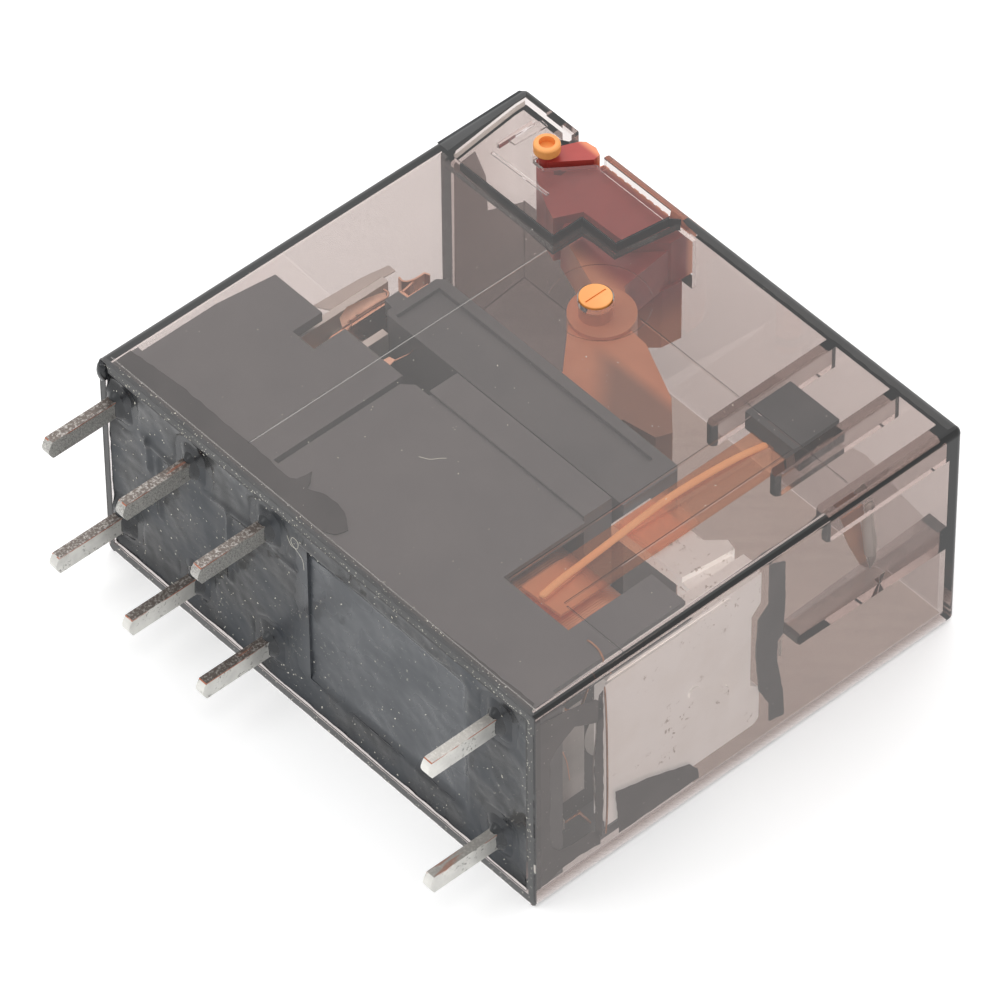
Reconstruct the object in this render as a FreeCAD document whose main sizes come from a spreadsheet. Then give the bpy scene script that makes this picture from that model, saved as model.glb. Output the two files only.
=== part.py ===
import FreeCAD, Part
import Sketcher
import os

# Sealed two-pole changeover relay with eight blade pins and a push-to-test lever.
# X runs along the 29 mm length (coil end at +X, contact end at -X),
# Y is the height above the seating plane on the circuit board (pins point to -Y),
# Z is the thickness; the relay lies on the broad side that faces -Z.

V = FreeCAD.Vector
doc = FreeCAD.newDocument("Relay")
sheet = doc.addObject("Spreadsheet::Sheet", "Sheet")
line = [0]


class Dim:
    """A sheet value with its expression, so that sizes can be combined."""

    def __init__(self, expr, val):
        self.e, self.v = expr, val

    def _op(self, other, sym, val):
        o = other.e if isinstance(other, Dim) else repr(float(other))
        return Dim("(%s %s %s)" % (self.e, sym, o), val)

    def __add__(self, o):
        return self._op(o, "+", self.v + num(o))

    def __sub__(self, o):
        return self._op(o, "-", self.v - num(o))

    def __mul__(self, o):
        return self._op(o, "*", self.v * num(o))

    def __truediv__(self, o):
        return self._op(o, "/", self.v / num(o))

    def __neg__(self):
        return Dim("(0 - %s)" % self.e, -self.v)


def num(v):
    return v.v if isinstance(v, Dim) else float(v)


def dim(alias, value):
    line[0] += 1
    sheet.set("A%d" % line[0], alias)
    sheet.set("B%d" % line[0], repr(float(value)))
    sheet.setAlias("B%d" % line[0], alias)
    return Dim("Sheet." + alias, float(value))


# ---------------------------------------------------------------- driving sizes
length = dim("cover_length", 29.0)
height = dim("cover_height", 25.5)
thick = dim("cover_thickness", 12.6)
wall = dim("cover_wall", 0.6)
edge_r = dim("cover_edge_radius", 0.35)
half_l = length / 2
half_t = thick / 2
in_x = half_l - wall          # inner half length at the coil end
end_in = dim("contact_end_inner_x", 14.15)  # the wall of the contact end is thinner
in_z = half_t - wall          # inner half thickness
in_y = height - wall          # inner height
step_d = dim("corner_step_depth", 0.5)
step_z = half_t - step_d      # outer face of the stepped corner
pin_pitch = dim("pin_pitch", 5.08)
row_gap = dim("pin_row_gap", 7.62)
pin_first = dim("pin_first_x", -13.55)
pin_len = dim("pin_length", 4.0)
pin_w = dim("pin_width", 1.0)
pin_t = dim("pin_thickness", 0.5)
base_gap = dim("base_side_gap", 0.1)
base_lo = dim("base_underside_y", 0.55)
base_hi = dim("base_plate_top_y", 1.9)
wall_in = dim("side_plate_inner_z", 5.05)
wall_out = dim("side_plate_outer_z", 5.6)
spr_x = dim("spring_centre_x", -9.28)
spr_t = dim("spring_thickness", 0.16)
spr_root = dim("spring_root_y", 3.35)
con_y = dim("contact_height_y", 10.6)
con_z = dim("contact_centre_z", 2.9)
con_r = dim("contact_radius", 0.8)
coil_y = dim("coil_axis_y", 6.25)
piv_x = dim("lever_pivot_x", -2.35)
piv_y = dim("lever_pivot_y", 18.85)
piv_r = dim("lever_disc_radius", 0.78)
run_clear = dim("running_clearance", 0.06)
lev_lo = dim("lever_back_z", 2.4)
lev_hi = dim("lever_front_z", 4.7)
tab_hi = dim("lever_tab_front_z", 5.2)
ring_x = dim("ring_pin_x", -10.75)
ring_y = dim("ring_pin_y", 23.5)


# ---------------------------------------------------------------- helpers
def origin_plane(body, role):
    for f in body.Origin.OriginFeatures:
        if f.Role == role:
            return f


def cell(name, k, axis, v):
    """Gives a plain number a cell of its own."""
    if isinstance(v, Dim):
        return v
    return dim("%s_%s%d" % (name, axis, k), v)


def sketch(body, name, role="XY_Plane", offset=None):
    sk = body.newObject("Sketcher::SketchObject", name)
    sk.AttachmentSupport = [(origin_plane(body, role), "")]
    sk.MapMode = "FlatFace"
    if offset is not None:
        off = offset if isinstance(offset, Dim) else dim(name + "_offset", offset)
        sk.AttachmentOffset = FreeCAD.Placement(V(0, 0, off.v), FreeCAD.Rotation())
        sk.setExpression("AttachmentOffset.Base.z", off.e)
    return sk


def pin_point(sk, geo, pos, x, y):
    for kind, v, axis in (("DistanceX", x, -2), ("DistanceY", y, -1)):
        if abs(num(v)) < 1e-9:
            sk.addConstraint(Sketcher.Constraint("PointOnObject", geo, pos, axis))
        else:
            k = sk.addConstraint(Sketcher.Constraint(kind, -1, 1, geo, pos, num(v)))
            sk.setExpression("Constraints[%d]" % k, v.e)


def outline(sk, pts):
    n, base = len(pts), sk.GeometryCount
    pts = [(cell(sk.Name, base + i, "u", p[0]) if abs(num(p[0])) > 1e-9 else p[0],
            cell(sk.Name, base + i, "v", p[1]) if abs(num(p[1])) > 1e-9 else p[1])
           for i, p in enumerate(pts)]
    for i in range(n):
        a, b = pts[i], pts[(i + 1) % n]
        sk.addGeometry(Part.LineSegment(V(num(a[0]), num(a[1]), 0), V(num(b[0]), num(b[1]), 0)))
    for i in range(n):
        sk.addConstraint(Sketcher.Constraint("Coincident", base + i, 2, base + (i + 1) % n, 1))
    for i in range(n):
        pin_point(sk, base + i, 1, *pts[i])


def circle(sk, cx, cy, r):
    g = sk.GeometryCount
    cx = cell(sk.Name, g, "cx", cx) if abs(num(cx)) > 1e-9 else cx
    cy = cell(sk.Name, g, "cy", cy) if abs(num(cy)) > 1e-9 else cy
    r = cell(sk.Name, g, "cr", r)
    sk.addGeometry(Part.Circle(V(num(cx), num(cy), 0), V(0, 0, 1), num(r)))
    pin_point(sk, g, 3, cx, cy)
    k = sk.addConstraint(Sketcher.Constraint("Radius", g, num(r)))
    sk.setExpression("Constraints[%d]" % k, r.e)


def settle(*objs):
    """Brings only the newest feature up to date; the whole model follows at the end."""
    sheet.recompute()
    for o in objs:
        o.recompute()


def rect(sk, x0, x1, y0, y1):
    outline(sk, [(x0, y0), (x1, y0), (x1, y1), (x0, y1)])


def pad(body, sk, size, back=False):
    f = body.newObject("PartDesign::Pad", sk.Name + "_pad")
    f.Profile = sk
    size = cell(sk.Name, 0, "len", size)
    f.Length = size.v
    f.setExpression("Length", size.e)
    f.Reversed = back
    sk.Visibility = False
    settle(sk, f, body)
    return f


def pocket(body, sk, size, back=False):
    before = body.Shape.Volume
    f = body.newObject("PartDesign::Pocket", sk.Name + "_cut")
    f.Profile = sk
    size = cell(sk.Name, 0, "deep", size)
    f.Length = size.v
    f.setExpression("Length", size.e)
    f.Reversed = back
    sk.Visibility = False
    settle(sk, f, body)
    if not body.Shape.Volume < before - 1e-6:
        raise RuntimeError("%s removes nothing" % f.Name)
    return f


def round_edges(body, pick, r, name):
    base = body.Tip
    names = ["Edge%d" % (i + 1) for i, e in enumerate(base.Shape.Edges) if pick(e)]
    if not names:
        raise RuntimeError("%s finds no edge" % name)
    f = body.newObject("PartDesign::Fillet", name)
    f.Base = (base, names)
    r = cell(name, 0, "r", r)
    f.Radius = r.v
    f.setExpression("Radius", r.e)
    settle(f, body)
    return f


def along(axis):
    i = "xyz".index(axis)

    def test(e):
        if len(e.Vertexes) != 2 or e.Length < 0.1:
            return False
        d = e.Vertexes[-1].Point - e.Vertexes[0].Point
        return d.Length > 1e-6 and abs(abs((d.x, d.y, d.z)[i]) - d.Length) < 1e-6
    return test


def at(e, **lim):
    """True where an edge's middle has the given coordinates."""
    c = e.CenterOfMass
    return all(abs(getattr(c, k) - v) < 0.02 for k, v in lim.items())


def part(label):
    b = doc.addObject("PartDesign::Body", label)
    b.Label = label
    nodes.append(b)
    return b


def prism(label, pts, z0, z1, sk_name=None, body=None):
    """A profile in XY extruded from z0 to z1."""
    b = body or part(label)
    sk = sketch(b, sk_name or label + "_profile", "XY_Plane", z0)
    outline(sk, pts)
    z0v = z0 if isinstance(z0, Dim) else Dim("Sheet.%s_offset" % sk.Name, z0)
    z1v = z1 if isinstance(z1, Dim) else dim(sk.Name + "_top", z1)
    pad(b, sk, z1v - z0v)
    return b


nodes = []

# ---------------------------------------------------------------- cover
cover = part("cover")
sk = sketch(cover, "cover_outer", "XZ_Plane")
rect(sk, -half_l, half_l, -half_t, half_t)
pad(cover, sk, height, back=True)
# the long edges and the edges of the closed end are softened
round_edges(cover, lambda e: along("y")(e) or (e.CenterOfMass.y > height.v - 0.01), edge_r, "cover_edges")
sk = sketch(cover, "cover_cavity", "XZ_Plane")
rect(sk, -end_in, in_x, -in_z, in_z)
pocket(cover, sk, in_y)
round_edges(cover, lambda e: along("y")(e) and min(abs(e.CenterOfMass.x - in_x.v), abs(e.CenterOfMass.x + end_in.v)) < 0.01
            and abs(abs(e.CenterOfMass.z) - in_z.v) < 0.01, 0.15, "cavity_edges")
# thick end wall beside the lever's window
sk = sketch(cover, "corner_wall", "XY_Plane", -in_z - 0.1)
outline(sk, [(-end_in - 0.1, 20.05), (-13.45, 20.05), (-13.9, 24.4), (-13.9, in_y + 0.1), (-end_in - 0.1, in_y + 0.1)])
pad(cover, sk, in_z * 2 + 0.2)
# thickening behind the stepped corner
sk = sketch(cover, "step_backing", "XY_Plane", step_z - 0.5)
outline(sk, [(-13.6, 19.75), (-6.2, 19.75), (-6.2, 21.5), (-4.0, 21.5), (-3.5, 24.7), (-3.5, in_y + 0.1), (-13.95, in_y + 0.1)])
pad(cover, sk, in_z - step_z + 0.6)
# stepped corner
sk = sketch(cover, "corner_step", "XY_Plane", half_t)
outline(sk, [(-13.45, 20.35), (-13.2, 20.05), (-6.5, 20.05), (-6.5, 21.8), (-4.25, 21.8), (-3.85, 24.75), (-4.1, 25.05), (-13.9, 25.05), (-13.9, 24.4)])
pocket(cover, sk, step_d)
# low lobe of the end wall beside the notch
sk = sketch(cover, "wall_lobe", "XY_Plane", half_t)
rect(sk, -12.5, -8.6, 25.0, height + 0.1)
pocket(cover, sk, 0.2)
# slot beside the small tongue at the corner
sk = sketch(cover, "tongue_slot", "XY_Plane", half_t + 0.05)
rect(sk, -12.95, -12.78, 22.4, 24.6)
pocket(cover, sk, 1.15)
# opening in which the ring pin and its bar travel
sk = sketch(cover, "pin_slot", "XY_Plane", half_t + 0.05)
outline(sk, [(-11.3, 23.1), (-11.05, 22.9), (-10.3, 22.9), (-9.45, 24.0), (-8.6, 25.2), (-8.6, height + 0.1), (-10.8, height + 0.1), (-10.8, 24.9),
             (-11.3, 24.6)])
pocket(cover, sk, 1.15)
# notch in the closed end for the bar
sk = sketch(cover, "bar_notch", "XZ_Plane", -height - 0.1)
rect(sk, -10.8, -8.6, lev_hi - 0.3, half_t + 0.1)
pocket(cover, sk, wall + 0.15, back=True)
# opening in the closed end for the grip of the lever
sk = sketch(cover, "grip_slot", "XZ_Plane", -height - 0.1)
rect(sk, -11.9, -2.5, lev_lo - 0.2, tab_hi + 0.05)
pocket(cover, sk, wall + 0.2, back=True)
# bearing hole of the lever
sk = sketch(cover, "pivot_hole", "XY_Plane", half_t + 0.1)
circle(sk, piv_x, piv_y, piv_r + run_clear)
pocket(cover, sk, wall + 0.2)
# rear bearing boss on the opposite broad wall
sk = sketch(cover, "rear_boss", "XY_Plane", -in_z - 0.1)
circle(sk, piv_x, piv_y, 1.15)
pad(cover, sk, 1.2)
sk = sketch(cover, "rear_bore", "XY_Plane", -in_z + 1.3)
circle(sk, piv_x, piv_y, 0.66)
pocket(cover, sk, 1.3)
# guide ribs behind the front wall
for k, x0 in enumerate((6.3, 10.4, 13.35)):
    sk = sketch(cover, "front_rib_%s" % "abc"[k], "XY_Plane", in_z - 1.3)
    outline(sk, [(x0, 17.75), (x0 + 0.15, 17.5), (x0 + 0.45, 17.5), (x0 + 0.6, 17.75), (x0 + 0.6, in_y + 0.1), (x0, in_y + 0.1)])
    pad(cover, sk, 1.4)
# tapered rib at mid thickness on the coil end wall
sk = sketch(cover, "end_rib", "YZ_Plane", in_x - 1.1)
outline(sk, [(15.8, -0.95), (15.95, -1.1), (in_y + 0.1, -1.4), (in_y + 0.1, 0.1), (15.95, -0.4), (15.8, -0.55)])
pad(cover, sk, 1.2)
# fine mould lines on the broad face
sk = sketch(cover, "mould_lines", "XY_Plane", half_t)
rect(sk, -6.04, -5.96, 1.5, 19.3)
rect(sk, 0.0001, 13.4, 19.36, 19.44)
rect(sk, 10.36, 10.44, 5.45, 18.9)
rect(sk, 10.6, 14.3, 5.36, 5.44)
rect(sk, 7.66, 7.74, 4.6, 19.0)
pocket(cover, sk, 0.05)
sk = sketch(cover, "pivot_ring_line", "XY_Plane", half_t)
circle(sk, piv_x + 0.4, piv_y - 0.1, 2.40)
circle(sk, piv_x + 0.4, piv_y - 0.1, 2.35)
pocket(cover, sk, 0.02)

# ---------------------------------------------------------------- base moulding
base = part("base")
sk = sketch(base, "base_plate", "XZ_Plane", -base_lo)
rect(sk, -end_in + base_gap, in_x - base_gap, -wall_out, wall_out)
pad(base, sk, base_hi - base_lo, back=True)
contact_side = [(-13.75, 1.5), (-4.8, 1.5), (-4.8, 9.5), (-8.7, 9.5), (-8.7, 7.65), (-10.15, 7.65), (-10.15, 9.4),
                (-13.35, 9.4), (-13.75, 6.2)]
coil_side = [(-4.5, 1.5), (13.55, 1.5), (13.55, 9.65), (11.4, 9.65), (11.4, 4.75), (7.2, 4.75), (7.2, 9.55),
             (-4.0, 9.55), (-4.5, 9.05)]
for s, z0 in (("front", wall_in), ("back", -wall_out)):
    for nm, pts in (("contact", contact_side), ("coil", coil_side)):
        sk = sketch(base, "%s_%s_plate" % (nm, s), "XY_Plane", z0)
        outline(sk, pts)
        pad(base, sk, wall_out - wall_in)
# partition between the two poles
sk = sketch(base, "pole_partition", "XY_Plane", -0.4)
outline(sk, [(-13.6, 1.5), (-4.8, 1.5), (-4.8, 9.5), (-13.2, 9.3), (-13.6, 6.2)])
pad(base, sk, 0.8)
# guide block on which the card slides
sk = sketch(base, "card_guide", "XY_Plane", -wall_out)
outline(sk, [(-3.3, 9.75), (6.9, 9.75), (6.9, 11.4), (-3.3, 11.4)])
pad(base, sk, wall_out * 2)
for s, z0 in (("front", wall_in), ("back", -wall_out)):
    sk = sketch(base, "guide_leg_%s" % s, "XY_Plane", z0)
    rect(sk, -3.2, 6.85, 9.4, 9.9)
    pad(base, sk, wall_out - wall_in - 0.15)
# holes for the pins
sk = sketch(base, "pin_holes", "XZ_Plane", -base_hi - 0.05)
for n, mul in enumerate((0, 1, 2, 5)):
    x = pin_first + pin_pitch * mul
    for sgn in (1, -1):
        z = row_gap / 2 * sgn
        rect(sk, x - pin_t / 2 - 0.02, x + pin_t / 2 + 0.02, z - pin_w / 2 - 0.02, z + pin_w / 2 + 0.02)
pocket(base, sk, base_hi - base_lo + 0.1, back=True)

# ---------------------------------------------------------------- sealing resin
seal = part("base_seal")
sk = sketch(seal, "seal_layer", "XZ_Plane", -0.3)
rect(sk, -end_in + 0.01, in_x - 0.01, -in_z + 0.01, in_z - 0.01)
pad(seal, sk, base_lo - 0.3, back=True)
round_edges(seal, along("y"), 0.2, "seal_corners")
sk = sketch(seal, "seal_window", "XZ_Plane", -base_lo - 0.05)
rect(sk, -0.8, 9.8, -4.1, 4.3)
pocket(seal, sk, 0.4, back=True)
sk = sketch(seal, "seal_pin_holes", "XZ_Plane", -base_lo - 0.05)
for n, mul in enumerate((0, 1, 2, 5)):
    x = pin_first + pin_pitch * mul
    for sgn in (1, -1):
        z = row_gap / 2 * sgn
        rect(sk, x - pin_t / 2, x + pin_t / 2, z - pin_w / 2, z + pin_w / 2)
pocket(seal, sk, 0.4, back=True)


# ---------------------------------------------------------------- terminals
def blade(body, name, x, sgn, top):
    """Straight pin with a rounded tip, from the tip to the given height."""
    z = row_gap / 2 * sgn
    sk = sketch(body, name, "YZ_Plane", x - pin_t / 2)
    c = 0.22
    outline(sk, [(-pin_len + 0.08, z - pin_w / 2 + c), (-pin_len + c, z - pin_w / 2), (top, z - pin_w / 2), (top, z + pin_w / 2),
                 (-pin_len + c, z + pin_w / 2), (-pin_len + 0.08, z + pin_w / 2 - c), (-pin_len, z + 0.08), (-pin_len, z - 0.08)])
    pad(body, sk, pin_t)


def span(sgn, z0, z1):
    return (z0, z1) if sgn > 0 else (-z1, -z0)


for tag, sgn in (("a", 1), ("b", -1)):
    # normally open contact: pin nearest the contact end, carrier plate upright
    b = part("terminal_no_" + tag)
    blade(b, "no_blade_" + tag, pin_first, sgn, 2.45)
    z0, z1 = span(sgn, 1.4, 4.6)
    prism(None, [(-13.7, 2.0), (-10.35, 2.0), (-10.35, 13.5), (-10.75, 13.5), (-10.75, 2.45), (-13.7, 2.45)],
          z0, z1, "no_carrier_" + tag, b)
    # common contact: pin in the middle, clamp for the spring
    b = part("terminal_com_" + tag)
    blade(b, "com_blade_" + tag, pin_first + pin_pitch, sgn, 2.45)
    prism(None, [(-9.56, 2.0), (-7.85, 2.0), (-7.85, 2.45), (-9.0, 2.45), (-9.0, 3.25), (-9.56, 3.25)],
          z0, z1, "com_clamp_" + tag, b)
    # normally closed contact: pin nearest the coil, carrier cranked over the common pin
    b = part("terminal_nc_" + tag)
    blade(b, "nc_blade_" + tag, pin_first + pin_pitch * 2, sgn, 2.45)
    prism(None, [(-4.65, 2.0), (-3.25, 2.0), (-3.25, 2.45), (-4.25, 2.45), (-4.25, 4.4), (-7.9, 4.4), (-7.9, 11.35),
                 (-8.3, 11.35), (-8.3, 4.0), (-4.65, 4.0)], z0, z1, "nc_carrier_" + tag, b)
    # riveted contact buttons on the two carriers
    for nm, x0, w in (("contact_no_", -10.35, 0.33), ("contact_nc_", -8.88, 0.58)):
        b = part(nm + tag)
        sk = sketch(b, nm + tag + "_button", "YZ_Plane", x0)
        circle(sk, con_y, con_z * sgn, con_r - 0.05)
        pad(b, sk, w)
        face_x = x0 + w if nm == "contact_no_" else x0
        round_edges(b, lambda e: abs(e.CenterOfMass.x - face_x) < 0.01, 0.12, nm + tag + "_dome")
    # moving spring, clamped at its root, with a lip at its head
    b = part("contact_spring_" + tag)
    z0, z1 = span(sgn, 1.0, 4.8)
    sl, sr = spr_x - spr_t / 2, spr_x + spr_t / 2
    prism(None, [(sl, spr_root), (sr, spr_root), (sr, 13.3), (-8.75, 13.3), (-8.75, 14.6), (-8.91, 14.6), (-8.91, 13.46),
                 (sl, 13.46)], z0, z1, "spring_profile_" + tag, b)
    sk = sketch(b, "spring_rivet_hole_" + tag, "YZ_Plane", sr + 0.1)
    circle(sk, con_y, con_z * sgn, 0.32)
    pocket(b, sk, spr_t + 0.2)
    # slit that splits the spring's upper half in two tines
    sk = sketch(b, "spring_waist_" + tag, "YZ_Plane", sr + 0.1)
    zc = 4.85 * sgn
    outline(sk, [(4.0, zc), (4.0, 4.3 * sgn), (8.6, 4.3 * sgn), (9.2, zc)])
    pocket(b, sk, spr_t + 0.2)
    # riveted moving contact, a head on each side of the spring
    b = part("moving_contact_" + tag)
    sk = sketch(b, "rivet_shank_" + tag, "YZ_Plane", sl - 0.001)
    circle(sk, con_y, con_z * sgn, 0.32)
    pad(b, sk, spr_t + 0.002)
    for s, x0 in (("l", sl - 0.26), ("r", sr)):
        sk = sketch(b, "rivet_head_%s_%s" % (s, tag), "YZ_Plane", x0)
        circle(sk, con_y, con_z * sgn, con_r)
        pad(b, sk, 0.26)
    xs = (sl.v - 0.26, sr.v + 0.26)
    round_edges(b, lambda e: min(abs(e.CenterOfMass.x - q) for q in xs) < 0.01, 0.1, "rivet_dome_" + tag)

# ---------------------------------------------------------------- coil
for k, sgn in ((1, 1), (2, -1)):
    b = part("coil_terminal_%d" % k)
    blade(b, "coil_blade_%d" % k, pin_first + pin_pitch * 5, sgn, 2.75)
    z0, z1 = span(sgn, 3.45, 4.05)
    prism(None, [(11.65, 2.4), (13.0, 2.4), (13.0, 2.75), (11.65, 2.75)], z0, z1, "coil_post_%d" % k, b)

bob = part("bobbin")
sk = sketch(bob, "bobbin_tube", "YZ_Plane", -1.9)
circle(sk, coil_y, 0, 2.15)
pad(bob, sk, 13.9)
for s, x0, w in (("left", -1.96, 0.6), ("right", 11.3, 0.75)):
    sk = sketch(bob, "flange_" + s, "YZ_Plane", x0)
    rect(sk, 3.1, 9.5, -4.9, 4.9)
    pad(bob, sk, w)
sk = sketch(bob, "bobbin_bore", "YZ_Plane", 12.4)
circle(sk, coil_y, 0, 1.7)
pocket(bob, sk, 15.4)

wind = part("coil_winding")
sk = sketch(wind, "winding_outer", "YZ_Plane", -1.34)
rect(sk, 3.3, 9.25, -4.7, 4.7)
pad(wind, sk, 12.62)
round_edges(wind, along("x"), 1.9, "winding_round")
sk = sketch(wind, "winding_inner", "YZ_Plane", 11.4)
circle(sk, coil_y, 0, 2.17)
pocket(wind, sk, 13.4)

core = part("coil_core")
sk = sketch(core, "core_rod", "YZ_Plane", -1.98)
circle(sk, coil_y, 0, 1.68)
pad(core, sk, 14.2)
sk = sketch(core, "core_rivet", "YZ_Plane", -2.8)
circle(sk, coil_y, 0, 1.2)
pad(core, sk, 0.9)
sk = sketch(core, "pole_face", "YZ_Plane", 12.08)
circle(sk, coil_y, 0, 1.85)
pad(core, sk, 0.38)

prism("yoke", [(-2.7, 2.0), (12.5, 2.0), (12.5, 4.35), (12.15, 4.35), (12.15, 3.0), (-2.0, 3.0), (-2.0, 8.9), (-2.7, 8.9)],
      -3.0, 3.0, "yoke_profile")
sk = sketch(nodes[-1], "yoke_core_hole", "YZ_Plane", -1.9)
circle(sk, coil_y, 0, 1.2)
pocket(nodes[-1], sk, 0.9)

# fine wire from the winding to each coil pin, straight runs joined by balls
for k, sgn in ((1, 1), (2, -1)):
    pts = [V(12.9, 2.83, 3.75 * sgn), V(13.2, 3.4, 3.3 * sgn), V(13.05, 4.2, 4.7 * sgn), V(12.4, 4.4, 4.975 * sgn), V(11.15, 4.5, 4.975 * sgn), V(10.85, 4.5, 4.77 * sgn)]
    r = dim("lead_%d_radius" % k, 0.06)
    solid = Part.makeSphere(r.v, pts[0])
    for p, q in zip(pts, pts[1:]):
        solid = solid.fuse([Part.makeCylinder(r.v, (q - p).Length, p, q - p), Part.makeSphere(r.v, q)])
    lead = doc.addObject("Part::Feature", "coil_lead_%d" % k)
    lead.Label = "coil_lead_%d" % k
    lead.Shape = solid.removeSplitter()
    lead.Placement = FreeCAD.Placement(V(0, 0, 0), FreeCAD.Rotation())
    nodes.append(lead)

# ---------------------------------------------------------------- armature
arm = part("armature")
sk = sketch(arm, "armature_plate", "YZ_Plane", 12.75)
outline(sk, [(4.7, -4.7), (4.9, -4.9), (13.6, -4.9), (13.85, -4.6), (13.85, -2.6), (13.3, -2.1), (13.3, 2.4), (13.85, 3.0), (13.85, 4.9),
             (4.9, 4.9), (4.7, 4.7)])
pad(arm, sk, 0.8)
prism(None, [(11.7, 10.9), (12.8, 10.9), (12.8, 13.5), (11.7, 13.7)], 2.9, 4.6, "arm_root", arm)
prism(None, [(7.58, 10.75), (12.0, 10.9), (12.3, 13.75), (11.7, 13.9), (11.0, 13.1), (7.58, 13.05)], 4.2, 4.93, "arm_finger", arm)

prism("armature_spring", [(13.56, 4.6), (13.68, 4.5), (13.68, 11.9), (13.56, 11.9)], -4.7, 4.7, "leaf_profile")
leaf = nodes[-1]
sk = sketch(leaf, "leaf_notch", "YZ_Plane", 13.8)
outline(sk, [(12.1, -1.2), (11.75, -0.9), (11.45, -0.3), (11.45, 0.3), (11.75, 0.9), (12.1, 1.2)])
pocket(leaf, sk, 0.4)
sk = sketch(leaf, "leaf_rivet", "YZ_Plane", 13.65)
circle(sk, 9.75, 0.3, 0.32)
pad(leaf, sk, 0.12)

# flag leaf carried by the armature finger, with a raised rib along it
prism("indicator_strip", [(7.8, 5.25), (10.2, 5.4), (10.2, 18.95), (7.8, 18.95)], 4.95, 5.12, "strip_profile")
strip = nodes[-1]
prism(None, [(8.85, 5.35), (9.2, 5.35), (8.75, 10.3), (9.3, 18.9), (8.95, 18.9), (8.4, 10.3)], 5.1, 5.3, "strip_rib", strip)

# fixed dark block between two guide ribs of the cover
prism("indicator_mask", [(7.05, 19.25), (10.2, 19.25), (10.2, 22.0), (7.05, 22.0)], 4.55, 5.66, "mask_profile")

# ---------------------------------------------------------------- card
card = part("pusher_card")
prism(None, [(-8.5, 11.85), (-8.3, 11.65), (7.4, 11.65), (7.4, 14.85), (7.2, 15.05), (-8.2, 15.05), (-8.5, 14.75)],
      -5.3, 5.3, "card_profile", card)
for tag, sgn in (("a", 1), ("b", -1)):
    z0, z1 = span(sgn, 4.3, 5.2)
    prism(None, [(-9.15, 12.25), (-8.4, 12.15), (-8.4, 13.1), (-9.15, 13.05)], z0, z1, "card_tongue_" + tag, card)
# sunk panel on each face
sk = sketch(card, "card_panel", "XY_Plane", 5.3)
rect(sk, -8.0, 6.2, 11.9, 14.5)
pocket(card, sk, 0.22)
sk = sketch(card, "card_panel_back", "XY_Plane", -5.3)
rect(sk, -8.0, 6.2, 11.9, 14.5)
pocket(card, sk, 0.22, back=True)
# slot for the arm of the test lever, open at the top
sk = sketch(card, "card_lever_slot", "XZ_Plane", -15.1)
rect(sk, -1.1, 3.95, 2.15, 4.82)
pocket(card, sk, 3.05, back=True)
# the middle of the card is hollowed from above
sk = sketch(card, "card_hollow_left", "XZ_Plane", -15.1)
rect(sk, -7.6, -1.8, -4.4, 4.6)
pocket(card, sk, 2.6, back=True)
sk = sketch(card, "card_hollow_back", "XZ_Plane", -15.1)
rect(sk, -1.1, 6.6, -4.4, 1.5)
pocket(card, sk, 2.6, back=True)

# ---------------------------------------------------------------- test lever
lever = part("test_lever")
grip = []
n = 12
for k in range(n):
    x = -9.0 + (5.9 / n) * k
    grip.append((x, 25.78))
    grip.append((x + 0.3, 25.78))
    grip.append((x + 0.36, 25.62))
    grip.append((x + 0.44, 25.62))
# raised tab with the ribbed grip, which reaches out of the closed end
sk = sketch(lever, "lever_tab", "XY_Plane", lev_lo)
outline(sk, [(-11.5, 23.5), (-11.5, 24.5), (-11.2, 24.8), (-9.2, 24.85)] + grip + [(-3.1, 25.7), (-3.15, 24.2), (-4.3, 22.7), (-7.3, 22.6),
             (-7.9, 21.3), (-8.7, 21.6), (-10.3, 22.45)])
pad(lever, sk, tab_hi - lev_lo)
# skirt below the tab
sk = sketch(lever, "lever_skirt", "XY_Plane", -1.2)
outline(sk, [(-5.1, 22.8), (-4.75, 24.7), (-2.95, 24.7), (-3.1, 23.6), (-3.8, 22.8)])
pad(lever, sk, lev_lo + 1.3)
# neck from the tab to the pivot
sk = sketch(lever, "lever_neck", "XY_Plane", lev_lo)
outline(sk, [(-8.0, 22.3), (-7.4, 21.3), (-3.95, 20.1), (-3.6, 18.3), (-1.5, 18.0), (-1.2, 19.9), (-2.9, 21.1), (-3.3, 24.7), (-6.0, 24.7)])
pad(lever, sk, lev_hi - lev_lo)
sk = sketch(lever, "lever_arm", "XY_Plane", lev_lo)
outline(sk, [(-3.65, 18.5), (-0.85, 15.5), (-0.62, 13.5), (-0.35, 13.2), (2.3, 13.2), (2.9, 13.8), (3.1, 15.5), (4.9, 15.85), (5.2, 16.6), (3.6, 18.0),
             (0.4, 19.4), (-1.1, 19.5), (-2.45, 20.1)])
pad(lever, sk, lev_hi - lev_lo)
# bar from the ring pin to the outside of the closed end
sk = sketch(lever, "lever_bar", "XY_Plane", tab_hi - 0.1)
outline(sk, [(-11.1, 23.6), (-10.4, 23.2), (-9.1, 24.9), (-9.15, 25.3), (-9.6, 25.48), (-10.2, 25.4), (-10.4, 25.2)])
pad(lever, sk, 0.8)
sk = sketch(lever, "lever_boss", "XY_Plane", lev_lo)
circle(sk, piv_x + 0.1, piv_y + 0.3, 1.6)
pad(lever, sk, lev_hi - lev_lo + 0.2)
sk = sketch(lever, "lever_disc", "XY_Plane", lev_hi - 0.1)
circle(sk, piv_x, piv_y, piv_r)
pad(lever, sk, half_t - lev_hi + 0.18)
sk = sketch(lever, "lever_shaft", "XY_Plane", -in_z + 0.35)
circle(sk, piv_x, piv_y, 0.6)
pad(lever, sk, lev_lo + in_z - 0.25)
sk = sketch(lever, "ring_post", "XY_Plane", lev_hi - 0.1)
circle(sk, ring_x, ring_y, 0.4)
pad(lever, sk, half_t - lev_hi + 0.2)
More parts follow.
